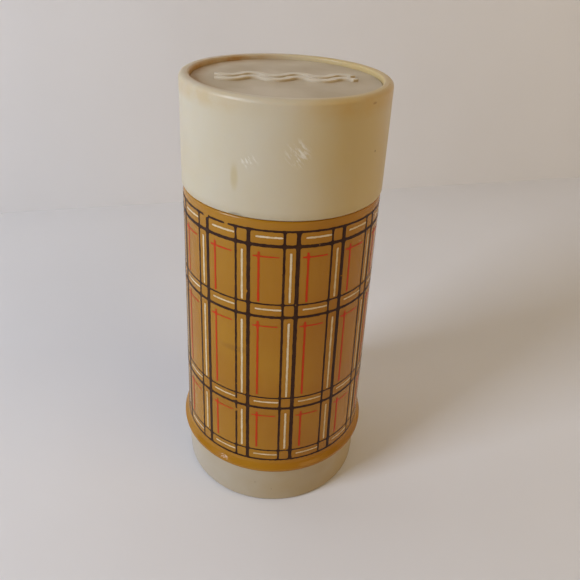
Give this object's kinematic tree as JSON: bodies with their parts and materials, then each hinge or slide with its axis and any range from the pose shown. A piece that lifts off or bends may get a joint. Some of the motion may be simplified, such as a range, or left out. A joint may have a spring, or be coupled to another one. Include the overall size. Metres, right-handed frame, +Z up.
{
  "type": "vacuum flask",
  "caption": "Wide-mouth vacuum flask with a plastic jacket, a glass filler, a screw stopper, a screw-on drinking cup and a screw-off base.",
  "frame": {"origin": "centre of the foot, on the surface that the flask stands on", "axes": "+Z up along the flask's axis to the crest of the cup's rim; -Y is the side that shows the print's widest run of whole panels"},
  "size_m": [0.0852, 0.0852, 0.178],
  "materials": {
    "base_plastic": "moulded polypropylene, aged cream",
    "cup_plastic": "moulded polypropylene, waxy, yellowed",
    "disc_plastic": "moulded polypropylene, worn",
    "liner_plastic": "moulded polypropylene, smooth",
    "ochre_plastic": "moulded polypropylene, satin ochre",
    "stopper_plastic": "moulded polyethylene",
    "seat_plastic": "soft moulded polyethylene",
    "grey_rubber": "moulded rubber",
    "white_foam": "closed-cell foam",
    "silvered_glass": "blown glass, silvered on the vacuum side",
    "dark_ink": "screen-printed, satin",
    "red_ink": "screen-printed, satin",
    "cream_ink": "screen-printed, satin",
    "pad_fibre": "pressed mineral fibre"
  },
  "bodies": {
    "casing": {"jacket": "ochre_plastic", "neck_collar": "cup_plastic", "neck_gasket": "grey_rubber", "shoulder_ring": "white_foam"},
    "filler_stack": {"base_seal": "grey_rubber", "base_cushion": "white_foam", "filler_seat": "seat_plastic", "tip_guard": "grey_rubber", "outer_glass_bottle": "silvered_glass", "inner_glass_bottle": "silvered_glass", "spacer_pads": "pad_fibre"},
    "base": {"base_cup": "base_plastic"},
    "stopper_rider": {"stopper_gasket": "grey_rubber"},
    "stopper": {"stopper_body": "stopper_plastic", "stopper_foam": "white_foam", "stopper_cap": "stopper_plastic"},
    "cup_rider": {"cup_liner": "liner_plastic"},
    "cup": {"cup_shell": "cup_plastic", "cup_end_disc": "disc_plastic"}
  },
  "joints": [
    {"name": "base_drop", "type": "slide", "parent": "casing", "child": "filler_stack", "axis": [0, 0, -1], "range_m": [0, 0.014]},
    {"name": "base_turn", "type": "hinge", "parent": "filler_stack", "child": "base", "pos_m": [0, 0, 0], "axis": [0, 0, 1], "range_deg": [-1260, 0]},
    {"name": "stopper_lift", "type": "slide", "parent": "casing", "child": "stopper_rider", "axis": [0, 0, 1], "range_m": [0, 0.009]},
    {"name": "stopper_turn", "type": "hinge", "parent": "stopper_rider", "child": "stopper", "pos_m": [0, 0, 0.1497], "axis": [0, 0, 1], "range_deg": [0, 648]},
    {"name": "cup_lift", "type": "slide", "parent": "casing", "child": "cup_rider", "axis": [0, 0, 1], "range_m": [0, 0.03]},
    {"name": "cup_turn", "type": "hinge", "parent": "cup_rider", "child": "cup", "pos_m": [0, 0, 0.1392], "axis": [0, 0, 1], "range_deg": [0, 2700]}
  ],
  "couplings": [
    {"joint": "base_turn", "follows": "base_drop", "rad_per_m": -1570.8},
    {"joint": "stopper_turn", "follows": "stopper_lift", "rad_per_m": 1256.6},
    {"joint": "cup_turn", "follows": "cup_lift", "rad_per_m": 1570.8}
  ]
}
